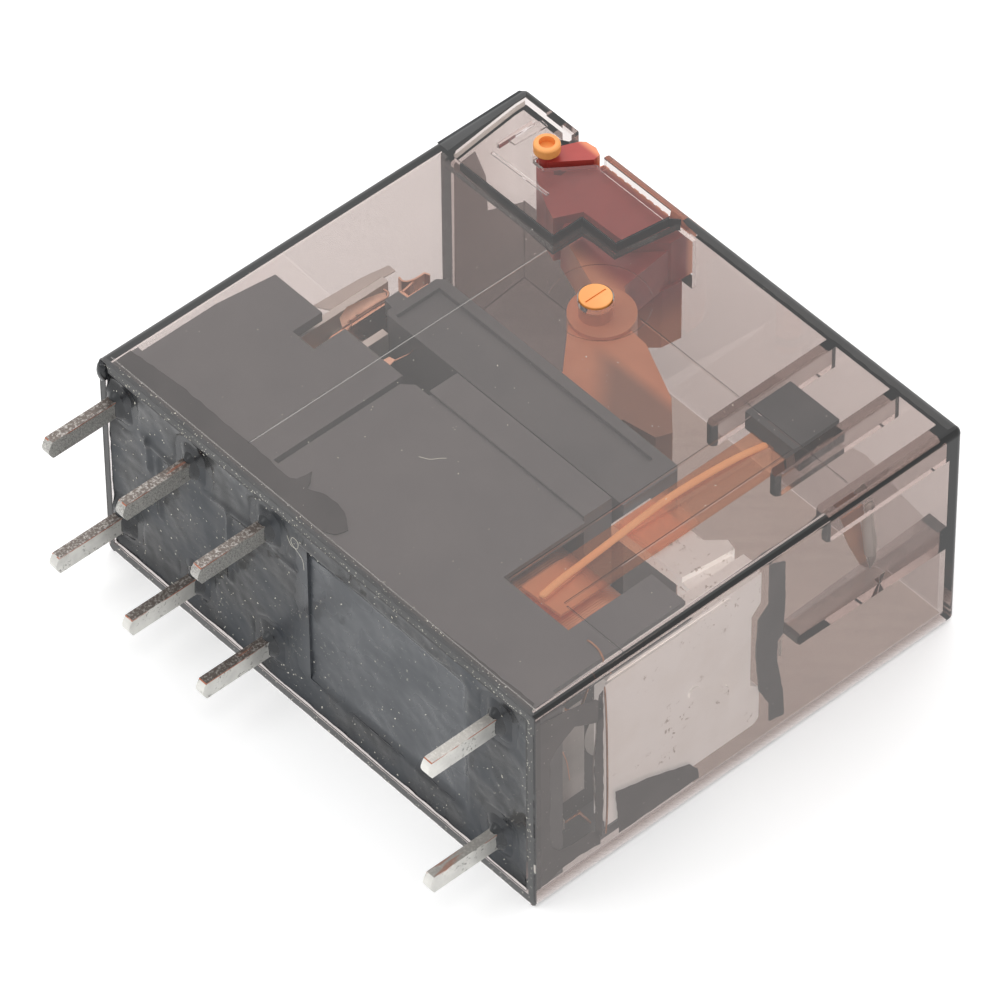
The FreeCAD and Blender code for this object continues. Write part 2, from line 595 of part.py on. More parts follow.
sk = sketch(lever, "ring_head", "XY_Plane", half_t - 0.05)
circle(sk, ring_x, ring_y, 0.64)
pad(lever, sk, 0.5)
round_edges(lever, lambda e: at(e, x=ring_x.v, y=ring_y.v, z=half_t.v + 0.45), 0.14, "ring_soft_edge")
sk = sketch(lever, "ring_hollow", "XY_Plane", half_t + 0.5)
circle(sk, ring_x, ring_y, 0.38)
pocket(lever, sk, 0.4)
# screwdriver-like fine slot across the disc
sk = sketch(lever, "disc_slot", "XY_Plane", half_t + 0.1)
rect(sk, piv_x - 0.04, piv_x + 0.04, piv_y - 0.62, piv_y + 0.62)
pocket(lever, sk, 0.08)
round_edges(lever, lambda e: at(e, x=piv_x.v, y=piv_y.v, z=half_t.v + 0.08), 0.05, "disc_soft_edge")

# ---------------------------------------------------------------- checks and output
doc.recompute()
bad = [o.Name for o in doc.Objects if "Invalid" in o.State or "Error" in o.State]
if bad:
    raise RuntimeError("failed objects: %s" % ", ".join(bad))
for b in nodes:
    s = b.Shape
    if s.isNull() or not s.isValid():
        raise RuntimeError("bad shape: " + b.Label)
    if len(s.Solids) != 1:
        raise RuntimeError("%s has %d solids" % (b.Label, len(s.Solids)))

os.makedirs("parts", exist_ok=True)
for b in nodes:
    b.Shape.exportStep("parts/%s.step" % b.Label)
    bb = b.Shape.BoundBox
    print("%-20s %8.3f mm3  x %.2f..%.2f  y %.2f..%.2f  z %.2f..%.2f" % (
        b.Label, b.Shape.Volume, bb.XMin, bb.XMax, bb.YMin, bb.YMax, bb.ZMin, bb.ZMax))
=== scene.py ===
import math
import random

import bmesh
import bpy
from mathutils import Matrix, Vector, noise


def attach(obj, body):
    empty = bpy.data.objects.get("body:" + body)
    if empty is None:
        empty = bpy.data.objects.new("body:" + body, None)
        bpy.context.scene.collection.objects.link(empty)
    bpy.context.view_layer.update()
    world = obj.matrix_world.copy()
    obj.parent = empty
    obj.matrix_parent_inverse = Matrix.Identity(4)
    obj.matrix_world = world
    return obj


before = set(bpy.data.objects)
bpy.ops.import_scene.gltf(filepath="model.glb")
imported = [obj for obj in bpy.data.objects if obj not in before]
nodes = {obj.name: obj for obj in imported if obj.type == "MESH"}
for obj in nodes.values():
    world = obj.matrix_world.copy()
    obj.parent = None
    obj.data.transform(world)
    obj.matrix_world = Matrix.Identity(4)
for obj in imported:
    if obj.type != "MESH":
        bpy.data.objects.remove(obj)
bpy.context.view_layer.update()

MM = 0.001
random.seed(7)
scene = bpy.context.scene
scene.view_settings.view_transform = "Standard"
scene.view_settings.look = "None"


# ------------------------------------------------------------------ camera
def make_camera():
    az, el, roll, dist, lens_px = math.radians(48.229), math.radians(47.226), math.radians(-0.31), 0.397201, 8861.0
    back = Vector((math.sin(az) * math.cos(el), -math.cos(az) * math.cos(el), math.sin(el)))
    flat = Vector((math.cos(az), math.sin(az), 0))
    rise = back.cross(flat)
    right = flat * math.cos(roll) + rise * math.sin(roll)
    up = back.cross(right)
    centre = Vector((0, 0.01275, 0))
    pos = centre + back * dist
    aim = centre - right * (29.98 / lens_px * dist) - up * (11.80 / lens_px * dist)
    look = (pos - aim).normalized()
    side = up.cross(look).normalized()
    top = look.cross(side)
    cam = bpy.data.objects.new("camera", bpy.data.cameras.new("camera"))
    cam.data.sensor_width = 36
    cam.data.lens = lens_px / 1000 * 36
    cam.matrix_world = Matrix(((side.x, top.x, look.x, pos.x), (side.y, top.y, look.y, pos.y),
                               (side.z, top.z, look.z, pos.z), (0, 0, 0, 1)))
    cam.data.clip_start, cam.data.clip_end = 0.01, 10
    scene.collection.objects.link(cam)
    scene.camera = cam


make_camera()


# ------------------------------------------------------------------ node helpers
class Mat:
    """A node material written a line at a time."""

    def __init__(self, name):
        self.m = bpy.data.materials.new(name)
        self.m.use_nodes = True
        self.t = self.m.node_tree
        self.t.nodes.clear()
        self.out = self.t.nodes.new("ShaderNodeOutputMaterial")
        self.coord = self.t.nodes.new("ShaderNodeTexCoord").outputs["Object"]

    def n(self, kind, **props):
        node = self.t.nodes.new(kind)
        for k, v in props.items():
            setattr(node, k, v)
        return node

    def link(self, a, b):
        self.t.links.new(a, b)

    def put(self, sock, v):
        if isinstance(v, bpy.types.NodeSocket):
            self.link(v, sock)
        else:
            sock.default_value = v

    def noise(self, scale, detail=3.0, rough=0.55, stretch=None, distortion=0.0):
        src = self.coord
        if stretch:
            mp = self.n("ShaderNodeMapping")
            mp.inputs["Scale"].default_value = stretch
            self.link(src, mp.inputs["Vector"])
            src = mp.outputs[0]
        nd = self.n("ShaderNodeTexNoise")
        self.link(src, nd.inputs["Vector"])
        nd.inputs["Scale"].default_value = scale
        nd.inputs["Detail"].default_value = detail
        nd.inputs["Roughness"].default_value = rough
        nd.inputs["Distortion"].default_value = distortion
        return nd.outputs["Fac"]

    def voronoi(self, scale, feature="F1", out="Distance", randomness=1.0):
        nd = self.n("ShaderNodeTexVoronoi", feature=feature)
        self.link(self.coord, nd.inputs["Vector"])
        nd.inputs["Scale"].default_value = scale
        nd.inputs["Randomness"].default_value = randomness
        return nd.outputs[out]

    def ramp(self, fac, stops, interp="LINEAR"):
        nd = self.n("ShaderNodeValToRGB")
        cr = nd.color_ramp
        cr.interpolation = interp
        while len(cr.elements) < len(stops):
            cr.elements.new(0.5)
        for e, (p, c) in zip(cr.elements, stops):
            e.position = p
            e.color = c if len(c) == 4 else (*c, 1)
        self.link(fac, nd.inputs[0])
        return nd.outputs[0]

    def math(self, op, a, b=0.0, c=None):
        nd = self.n("ShaderNodeMath", operation=op)
        self.put(nd.inputs[0], a)
        self.put(nd.inputs[1], b)
        if c is not None:
            self.put(nd.inputs[2], c)
        return nd.outputs[0]

    def mix(self, fac, a, b, blend="MIX"):
        nd = self.n("ShaderNodeMix", data_type="RGBA", blend_type=blend)
        self.put(nd.inputs[0], fac)
        self.put(nd.inputs[6], a if isinstance(a, bpy.types.NodeSocket) else (*a[:3], 1))
        self.put(nd.inputs[7], b if isinstance(b, bpy.types.NodeSocket) else (*b[:3], 1))
        return nd.outputs[2]

    def span(self, v, a, b):
        """0 below a, 1 above b, smooth between."""
        nd = self.n("ShaderNodeMapRange", interpolation_type="SMOOTHSTEP")
        self.put(nd.inputs[0], v)
        nd.inputs[1].default_value, nd.inputs[2].default_value = a, b
        nd.inputs[3].default_value, nd.inputs[4].default_value = 0.0, 1.0
        return nd.outputs[0]

    def scale(self, v, lo, hi):
        nd = self.n("ShaderNodeMapRange")
        self.put(nd.inputs[0], v)
        nd.inputs[1].default_value, nd.inputs[2].default_value = 0.0, 1.0
        nd.inputs[3].default_value, nd.inputs[4].default_value = lo, hi
        return nd.outputs[0]

    def xyz(self, vec=None):
        nd = self.n("ShaderNodeSeparateXYZ")
        self.link(vec or self.coord, nd.inputs[0])
        return nd.outputs

    def normal(self):
        return self.xyz(self.n("ShaderNodeNewGeometry").outputs["Normal"])

    def bump(self, height, dist, strength=1.0, base=None):
        nd = self.n("ShaderNodeBump")
        self.link(height, nd.inputs["Height"])
        nd.inputs["Distance"].default_value = dist
        nd.inputs["Strength"].default_value = strength
        if base is not None:
            self.link(base, nd.inputs["Normal"])
        return nd.outputs[0]

    def pbr(self, **k):
        nd = self.n("ShaderNodeBsdfPrincipled")
        names = {"color": "Base Color", "rough": "Roughness", "metal": "Metallic", "normal": "Normal", "ior": "IOR",
                 "trans": "Transmission Weight", "coat": "Coat Weight", "coat_rough": "Coat Roughness",
                 "spec": "Specular IOR Level", "sss": "Subsurface Weight", "alpha": "Alpha", "sheen": "Sheen Weight"}
        for key, v in k.items():
            s = nd.inputs[names[key]]
            if isinstance(v, tuple) and len(v) == 3:
                v = (*v, 1)
            self.put(s, v)
        return nd

    def done(self, shader):
        self.link(shader.outputs[0] if hasattr(shader, "outputs") else shader, self.out.inputs["Surface"])
        return self.m


def assign(obj, mat):
    if not obj.material_slots:
        obj.data.materials.append(mat)
    for s in obj.material_slots:
        s.material = mat


# ------------------------------------------------------------------ materials
def smoke(name, density=1000.0, tint=(0.45, 0.32, 0.275)):
    """Clear smoke moulding: refracts the view, lets some of the lamps' light reach the inside, darkens with thickness."""
    m = Mat(name)
    glass = m.pbr(color=(0.99, 0.98, 0.975), rough=0.0, ior=1.55, trans=1.0,
                  normal=m.bump(m.noise(120.0, 2.0, 0.5), 0.00002, 0.25))
    clear = m.n("ShaderNodeBsdfTransparent")
    clear.inputs[0].default_value = (0.80, 0.755, 0.73, 1)
    path = m.n("ShaderNodeLightPath")
    # the first wall of the view gets a painted reflection: emission for the part of the white studio that it mirrors,
    # added evenly
    fres = m.n("ShaderNodeFresnel")
    fres.inputs["IOR"].default_value = 1.55
    f = fres.outputs[0]
    thru = m.n("ShaderNodeBsdfRefraction")
    thru.inputs["Roughness"].default_value = 0.0
    thru.inputs["IOR"].default_value = 1.55
    keep = m.math("SUBTRACT", 1.0, f)
    tone = m.n("ShaderNodeCombineColor")
    for k in range(3):
        m.link(keep, tone.inputs[k])
    m.link(tone.outputs[0], thru.inputs["Color"])
    painted_reflection = m.n("ShaderNodeEmission")
    cam = path.outputs["Is Camera Ray"]
    m.link(m.mix(cam, (0.62, 0.56, 0.53), (0.98, 0.98, 0.98)), painted_reflection.inputs["Color"])
    # the painted reflection is stronger on the broad face, which mirrors the brighter part of the studio, most of all
    # on the side of the pins
    q = m.xyz()
    face = m.math("MULTIPLY", m.math("GREATER_THAN", m.normal()[2], 0.9), cam)
    more = m.math("SUBTRACT", 0.80, m.math("MULTIPLY", m.span(q[1], 0.010, 0.024), 0.38))
    gain = m.math("ADD", 1.0, m.math("MULTIPLY", face, more))
    m.link(m.math("MULTIPLY", f, gain), painted_reflection.inputs["Strength"])
    both = m.n("ShaderNodeAddShader")
    m.link(thru.outputs[0], both.inputs[0])
    m.link(painted_reflection.outputs[0], both.inputs[1])
    second = m.math("MULTIPLY", path.outputs["Is Transmission Ray"], m.math("LESS_THAN", path.outputs["Ray Depth"], 1.5))
    first = m.math("MULTIPLY", m.math("MAXIMUM", cam, second), m.math("LESS_THAN", f, 0.5))
    wall = m.n("ShaderNodeMixShader")
    m.link(first, wall.inputs[0])
    m.link(glass.outputs[0], wall.inputs[1])
    m.link(both.outputs[0], wall.inputs[2])
    mix = m.n("ShaderNodeMixShader")
    m.link(path.outputs["Is Shadow Ray"], mix.inputs[0])
    m.link(wall.outputs[0], mix.inputs[1])
    m.link(clear.outputs[0], mix.inputs[2])
    vol = m.n("ShaderNodeVolumeAbsorption")
    vol.inputs["Color"].default_value = (*tint, 1)
    vol.inputs["Density"].default_value = density
    m.link(vol.outputs[0], m.out.inputs["Volume"])
    return m.done(mix)


def plastic(name, a, b, rough=(0.42, 0.6), grain=0.000012, dust=0.0, painted_glow=0.0):
    m = Mat(name)
    broad = m.noise(260.0, 2.0)
    wide = m.noise(420.0, 1.0)
    col = m.mix(m.span(broad, 0.3, 0.7), a, b)
    if dust:
        specks = m.math("LESS_THAN", m.voronoi(1500.0), 0.10)
        pick = m.math("GREATER_THAN", m.noise(500.0, 1.0), 0.62)
        col = m.mix(m.math("MULTIPLY", m.math("MULTIPLY", specks, pick), dust), col, (0.55, 0.53, 0.5))
    sh = m.pbr(color=col, rough=m.scale(m.span(wide, 0.3, 0.7), *rough), normal=m.bump(wide, grain, 0.3))
    # painted glow: the surface gives out its own colour as emission
    if painted_glow:
        m.link(col, sh.inputs["Emission Color"])
        sh.inputs["Emission Strength"].default_value = painted_glow
    return m.done(sh)


def metal(name, a, b, rough=(0.22, 0.42), stretch=(1, 1, 1), grain=0.000008, stain=None, metallic=1.0, painted_glow=0.0):
    m = Mat(name)
    brush = m.noise(2600.0, 3.0, 0.6, stretch=stretch)
    patch = m.noise(420.0, 4.0)
    col = m.mix(m.span(patch, 0.35, 0.7), a, b)
    if stain:
        spots = m.math("MULTIPLY", m.span(m.noise(2300.0, 4.0, 0.7), 0.58, 0.66), m.span(m.noise(330.0, 2.0), 0.5, 0.62))
        col = m.mix(m.math("MULTIPLY", spots, 0.75), col, stain)
    sh = m.pbr(color=col, metal=metallic, rough=m.scale(brush, *rough), normal=m.bump(brush, grain, 0.5))
    if painted_glow:
        # stands in for the light that the clear walls focus on the inside, less of it on what faces up
        m.link(m.mix(m.span(m.normal()[2], 0.3, 0.9), col, tuple(c * 0.3 for c in a)), sh.inputs["Emission Color"])
        sh.inputs["Emission Strength"].default_value = painted_glow
    return m.done(sh)


mat_cover = smoke("smoke_cover")
mat_dark = plastic("dark_plastic", (0.198, 0.214, 0.231), (0.220, 0.236, 0.252), grain=0.000002)
mat_card = plastic("card_plastic", (0.158, 0.175, 0.190), (0.184, 0.201, 0.215), grain=0.000002)
mat_bobbin = plastic("bobbin_plastic", (0.03, 0.03, 0.032), (0.05, 0.05, 0.052), grain=0.000003)
mat_mask = plastic("mask_plastic", (0.085, 0.1, 0.11), (0.115, 0.13, 0.14), grain=0.000002)
mat_copper = metal("spring_copper", (0.80, 0.47, 0.33), (0.66, 0.36, 0.24), (0.18, 0.34), (1, 0.15, 1), stain=(0.25, 0.12, 0.08))
mat_silver = metal("contact_silver", (0.85, 0.83, 0.79), (0.72, 0.70, 0.66), (0.2, 0.4))
mat_iron = metal("soft_iron", (0.52, 0.51, 0.50), (0.40, 0.40, 0.39), (0.35, 0.5))
mat_nickel = metal("nickel_plate", (0.97, 0.96, 0.94), (0.93, 0.91, 0.88), (0.5, 0.65), (1, 0.3, 1), 0.000008, stain=(0.34, 0.27, 0.22), metallic=0.35, painted_glow=0.44)


def lever_look():
    """Orange moulding, redder and deeper on the tab under the cover: partly the tab's thick translucent plastic,
    partly painted shade.
    """
    m = Mat("lever_orange")
    q = m.xyz()
    tone = m.span(m.noise(300.0, 4.0), 0.35, 0.7)
    bright = m.mix(tone, (0.92, 0.40, 0.12), (0.84, 0.32, 0.08))
    arm = m.mix(tone, (0.95, 0.40, 0.21), (0.84, 0.32, 0.16))
    deep_red_and_shade = m.mix(tone, (0.46, 0.055, 0.045), (0.36, 0.04, 0.032))
    # painted shade: the arm's far side darkens into the shade beside it
    away = m.math("ADD", q[0], q[1])
    fade = m.math("MULTIPLY", m.span(away, 0.0160, 0.0182), m.math("SUBTRACT", 1.0, m.span(q[1], 0.0172, 0.0181)))
    arm = m.mix(m.math("MULTIPLY", fade, 0.8), arm, (0.24, 0.13, 0.09))
    low = m.mix(m.span(q[2], -0.0008, 0.0026), (0.90, 0.36, 0.20), deep_red_and_shade)
    col = m.mix(m.span(q[1], 0.0204, 0.0216), arm, low)
    col = m.mix(m.span(q[1], 0.0250, 0.02535), col, (0.80, 0.27, 0.13))
    col = m.mix(m.math("GREATER_THAN", q[2], 0.0060), col, bright)
    wide = m.noise(900.0, 2.0, 0.5)
    return m.done(m.pbr(color=col, rough=m.scale(wide, 0.3, 0.42), normal=m.bump(wide, 0.000004, 0.4)))


mat_orange = lever_look()
mat_shade = plastic("edge_shade", (0.012, 0.013, 0.014), (0.03, 0.03, 0.031), (0.5, 0.7), 0.000001)
mat_resin_film_and_shade = plastic("resin_film_and_shade", (0.045, 0.048, 0.052), (0.075, 0.078, 0.082), (0.3, 0.5), 0.000002)
mat_creep = plastic("resin_creep", (0.020, 0.022, 0.025), (0.038, 0.041, 0.045), (0.3, 0.5), 0.000001)
mat_glow = metal("warm_copper", (0.95, 0.60, 0.44), (0.62, 0.32, 0.20), (0.3, 0.5), stain=(0.2, 0.1, 0.07))
mat_pale_and_glint = plastic("pale_plastic_and_glint", (0.80, 0.76, 0.70), (0.9, 0.87, 0.82), (0.15, 0.3), 0.000002)
mat_dust = plastic("dust", (0.62, 0.59, 0.50), (0.80, 0.78, 0.70), (0.7, 0.9), 0.000004)
mat_amber = plastic("amber_leaf", (0.75, 0.32, 0.14), (0.60, 0.24, 0.11), (0.35, 0.5), 0.000002)
mat_red_shade = plastic("red_recess_shade", (0.16, 0.012, 0.008), (0.24, 0.02, 0.014), (0.4, 0.6), 0.000002)
mat_lit = plastic("lit_orange", (0.95, 0.42, 0.2), (0.85, 0.34, 0.14), (0.3, 0.5), 0.000002)
mat_stripe = plastic("bright_rib", (1.0, 0.48, 0.20), (0.95, 0.40, 0.15), (0.3, 0.5), 0.000002, painted_glow=0.32)


def resin_look():
    """Dark poured resin, glossy, with matt patches."""
    m = Mat("resin")
    q = m.xyz()
    broad = m.noise(330.0, 2.0, 0.5)
    fine = m.noise(1500.0, 2.0, 0.5)
    dark = m.mix(m.span(broad, 0.38, 0.66), (0.007, 0.008, 0.010), (0.026, 0.031, 0.038))
    inner = m.math("MULTIPLY", m.math("MULTIPLY", m.span(q[0], -0.0020, -0.0005), m.span(q[0], 0.0100, 0.0094)),
                   m.math("MULTIPLY", m.span(q[2], -0.0043, -0.0036), m.span(q[2], 0.0045, 0.0038)))
    col = m.mix(inner, dark, m.mix(broad, (0.044, 0.049, 0.056), (0.068, 0.074, 0.082)))
    speck = m.math("MULTIPLY", m.span(m.noise(5200.0, 2.0, 0.7), 0.66, 0.72), m.span(m.noise(420.0, 3.0), 0.42, 0.6))
    col = m.mix(m.math("MULTIPLY", speck, 0.6), col, (0.42, 0.40, 0.34))
    return m.done(m.pbr(color=col, rough=m.scale(m.span(broad, 0.35, 0.7), 0.16, 0.5), normal=m.bump(fine, 0.00001, 0.15)))


mat_resin = resin_look()


def tinned():
    """Tin plate over copper: fine scratches and pits, bare copper along the outer corners of the blades."""
    m = Mat("tinned_pin")
    q = m.xyz()
    nrm = m.normal()
    streak = m.noise(5200.0, 3.0, 0.6, stretch=(0.35, 1.6, 0.35))
    speck = m.noise(7800.0, 3.0, 0.7)
    patch = m.noise(900.0, 3.0)
    out = m.math("LESS_THAN", q[1], 0.0012)
    # the rolled sides: pale in the row that lies lower; darker and speckled in the upper row, partly wear and partly
    # painted shade
    pale = m.mix(m.span(patch, 0.3, 0.7), (0.76, 0.75, 0.71), (0.62, 0.61, 0.58))
    worn_and_shaded = m.mix(m.span(m.noise(13000.0, 3.0, 0.7), 0.36, 0.62), (0.12, 0.115, 0.11), (0.46, 0.45, 0.42))
    coil_end = m.math("GREATER_THAN", q[0], 0.005)
    left_top = m.math("MULTIPLY", m.math("GREATER_THAN", q[2], 0.0), m.math("SUBTRACT", 1.0, coil_end))
    flank = m.mix(m.math("MULTIPLY", left_top, 0.72), pale, worn_and_shaded)
    pits = m.math("MULTIPLY", m.span(m.noise(5600.0, 3.0, 0.7), 0.56, 0.64), m.span(m.noise(1100.0, 2.0), 0.44, 0.58))
    flank = m.mix(m.math("MULTIPLY", pits, 0.7), flank, (0.10, 0.09, 0.08))
    # the cut edge on top: dull brown with light grains
    cut = m.mix(m.span(speck, 0.46, 0.66), (0.15, 0.125, 0.11), (0.46, 0.43, 0.40))
    cut = m.mix(m.math("MULTIPLY", coil_end, 0.6), cut, (0.62, 0.60, 0.56))
    up = m.math("GREATER_THAN", nrm[2], 0.6)
    col = m.mix(up, flank, cut)
    # thin bare copper line along the corner between the top and the side
    off = m.math("SUBTRACT", m.math("ABSOLUTE", q[2]), 0.00381)
    high = m.math("MULTIPLY", off, m.math("SIGN", q[2]))
    ragged = m.span(m.noise(1300.0, 3.0, 0.6, stretch=(1, 0.35, 1)), 0.42, 0.52)
    line_side = m.math("MULTIPLY", m.math("GREATER_THAN", high, 0.00044), m.math("SUBTRACT", 1.0, up))
    edge = m.math("MULTIPLY", m.math("MULTIPLY", line_side, ragged), out)
    near = m.math("MULTIPLY", m.math("MULTIPLY", up, m.span(m.noise(900.0, 3.0, 0.6, stretch=(1.8, 0.25, 1)), 0.62, 0.68)), out)
    bare = m.math("MAXIMUM", edge, m.math("MULTIPLY", near, 0.6))
    col = m.mix(bare, col, (0.42, 0.15, 0.085))
    # inside the cover the metal is clean
    col = m.mix(m.math("GREATER_THAN", q[1], 0.0018), col, (0.86, 0.84, 0.80))
    return m.done(m.pbr(color=col, metal=0.55, rough=m.scale(streak, 0.32, 0.55), normal=m.bump(speck, 0.000006, 0.4)))


mat_tin = tinned()


def winding():
    m = Mat("enamelled_wire")
    tone = m.noise(700.0, 3.0)
    col = m.mix(m.span(tone, 0.3, 0.7), (0.86, 0.40, 0.20), (0.68, 0.27, 0.12))
    wave = m.n("ShaderNodeTexWave", bands_direction="X")
    m.link(m.coord, wave.inputs["Vector"])
    wave.inputs["Scale"].default_value = 2600.0
    wave.inputs["Distortion"].default_value = 0.4
    return m.done(m.pbr(color=col, metal=0.75, rough=m.scale(tone, 0.25, 0.4), coat=0.6, normal=m.bump(wave.outputs["Fac"], 0.00002, 0.8)))


mat_wire = winding()


def strip():
    """Thin translucent orange leaf, denser at its lower end and round its middle."""
    m = Mat("orange_strip")
    q = m.xyz()
    tone = m.noise(300.0, 3.0)
    col = m.mix(m.span(tone, 0.3, 0.7), (0.95, 0.44, 0.20), (0.86, 0.36, 0.15))
    body = m.pbr(color=col, rough=0.35)
    # painted glow: the leaf gives out its own colour as emission
    m.link(col, body.inputs["Emission Color"])
    body.inputs["Emission Strength"].default_value = 0.16
    clear = m.n("ShaderNodeBsdfTransparent")
    clear.inputs[0].default_value = (0.90, 0.69, 0.55, 1)
    low = m.math("SUBTRACT", 1.0, m.span(q[1], 0.0068, 0.0086))
    mid = m.math("MULTIPLY", m.span(q[1], 0.0104, 0.0112), m.math("SUBTRACT", 1.0, m.span(q[1], 0.0132, 0.0144)))
    dense = m.math("MAXIMUM", m.math("MULTIPLY", low, 0.6), m.math("MULTIPLY", mid, 0.42))
    solid = m.math("MAXIMUM", dense, 0.14)
    mix = m.n("ShaderNodeMixShader")
    m.link(solid, mix.inputs[0])
    m.link(clear.outputs[0], mix.inputs[1])
    m.link(body.outputs[0], mix.inputs[2])
    return m.done(mix)


mat_strip = strip()



def veil(name, clear, body, lo, hi, axis=None, a=0.0, b=1.0):
    """Sheet that lets part of the view through; the covering part grows from lo at a to hi at b along an axis."""
    m = Mat(name)
    q = m.xyz()
    tone = m.noise(240.0, 2.0)
    t = m.n("ShaderNodeBsdfTransparent")
    m.link(m.mix(tone, clear, tuple(min(1.0, c * 1.06) for c in clear)), t.inputs[0])
    d = m.pbr(color=m.mix(tone, body, tuple(c * 1.3 for c in body)), rough=0.6)
    cover = m.scale(m.span(q["xyz".index(axis)], a, b), lo, hi) if axis else m.scale(tone, lo, hi)
    mix = m.n("ShaderNodeMixShader")
    m.link(cover, mix.inputs[0])
    m.link(t.outputs[0], mix.inputs[1])
    m.link(d.outputs[0], mix.inputs[2])
    return m.done(mix)


mat_bottom_shade_film = veil("bottom_shade_film", (0.90, 0.85, 0.82), (0.22, 0.19, 0.17), 0.16, 0.12, "y", 0.0140, 0.0205)
mat_wall_shade_film = veil("wall_shade_film", (0.94, 0.91, 0.90), (0.16, 0.15, 0.145), 0.06, 0.14)
mat_corner_shade_film = veil("corner_shade_film", (0.72, 0.67, 0.66), (0.085, 0.08, 0.08), 0.24, 0.42)
mat_frost_and_light = veil("frosted_edge_and_light", (0.95, 0.92, 0.90), (0.72, 0.66, 0.62), 0.40, 0.60)
mat_line = veil("pale_line", (0.98, 0.97, 0.96), (0.60, 0.58, 0.55), 0.14, 0.32)
mat_collar = plastic("resin_collar", (0.010, 0.011, 0.013), (0.024, 0.027, 0.030), (0.16, 0.3), 0.000004)
mat_rim = plastic("rim_shade", (0.018, 0.020, 0.022), (0.045, 0.048, 0.05), (0.5, 0.7), 0.000001)


def lip_look():
    """Copper lip with a painted highlight along its front line and painted shade away from it."""
    m = Mat("copper_lip")
    q = m.xyz()
    near = m.span(q[0], -0.01015, -0.00950)
    col = m.mix(near, (0.30, 0.16, 0.10), (0.98, 0.66, 0.50))
    tone = m.noise(1500.0, 2.0)
    return m.done(m.pbr(color=m.mix(m.span(tone, 0.35, 0.65), col, m.mix(0.5, col, (0.55, 0.30, 0.2))), metal=0.5, rough=m.scale(tone, 0.3, 0.5)))


mat_lip = lip_look()

looks = {"cover": mat_cover, "base": mat_dark, "pusher_card": mat_card, "indicator_mask": mat_mask, "bobbin": mat_bobbin,
         "base_seal": mat_resin, "coil_winding": mat_wire, "coil_lead_1": mat_wire, "coil_lead_2": mat_wire,
         "coil_core": mat_iron, "yoke": mat_iron, "armature": mat_nickel, "armature_spring": mat_nickel,
         "indicator_strip": mat_strip, "test_lever": mat_orange}
for name, obj in nodes.items():
    if name.startswith(("terminal", "coil_terminal")):
        assign(obj, mat_tin)
    elif name.startswith("contact_spring"):
        assign(obj, mat_copper)
    elif name.startswith(("contact_", "moving_contact")):
        assign(obj, mat_silver)
    else:
        assign(obj, looks[name])


# ------------------------------------------------------------------ detail pieces
def piece(name, verts, faces, mat, body, smooth=False):
    me = bpy.data.meshes.new(name)
    me.from_pydata([Vector(v) * MM for v in verts], [], faces)
    me.validate()
    bm = bmesh.new()
    bm.from_mesh(me)
    bmesh.ops.recalc_face_normals(bm, faces=bm.faces)
    bm.to_mesh(me)
    bm.free()
    if smooth:
        for f in me.polygons:
            f.use_smooth = True
    ob = bpy.data.objects.new(name, me)
    scene.collection.objects.link(ob)
    me.materials.append(mat)
    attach(ob, body)
    return ob


def slab(name, pts, lo, hi, mat, body="housing", axis="z", wavy=0.0):
    """Outline extruded between two planes. pts are (x, y) for z, (y, z) for x and (x, z) for y."""
    pts = list(pts)
    if wavy:
        fine = []
        for k, a in enumerate(pts):
            b = pts[(k + 1) % len(pts)]
            n = max(1, int(math.dist(a, b) / 0.12))
            for j in range(n):
                t = j / n
                x, y = a[0] + (b[0] - a[0]) * t, a[1] + (b[1] - a[1]) * t
                w = noise.noise_vector(Vector((x * 1.9, y * 1.9, 3.0)))
                fine.append((x + w.x * wavy, y + w.y * wavy))
        pts = fine

    def at(q, h):
        return {"z": (q[0], q[1], h), "x": (h, q[0], q[1]), "y": (q[0], h, q[1])}[axis]

    n = len(pts)
    verts = [at(q, lo) for q in pts] + [at(q, hi) for q in pts]
    faces = [tuple(range(n - 1, -1, -1)), tuple(range(n, 2 * n))]
    faces += [(k, (k + 1) % n, n + (k + 1) % n, n + k) for k in range(n)]
    return piece(name, verts, faces, mat, body)


def ribbon(name, pts, lows, hi, t, mat, body="housing"):
    """Upright sheet along a line in plan, with its lower edge at the heights given."""
    verts, faces = [], []
    n = len(pts)
    for k, (x, y) in enumerate(pts):
        a = Vector(pts[max(k - 1, 0)])
        b = Vector(pts[min(k + 1, n - 1)])
        d = (b - a).normalized()
        o = Vector((-d.y, d.x)) * t / 2
        for s_, z in ((1, hi), (-1, hi), (-1, lows[k]), (1, lows[k])):
            verts.append((x + o.x * s_, y + o.y * s_, z))
    for k in range(n - 1):
        i, j = 4 * k, 4 * k + 4
        faces += [(i + m_, i + (m_ + 1) % 4, j + (m_ + 1) % 4, j + m_) for m_ in range(4)]
    faces += [(0, 1, 2, 3), (4 * n - 1, 4 * n - 2, 4 * n - 3, 4 * n - 4)]
    return piece(name, verts, faces, mat, body)


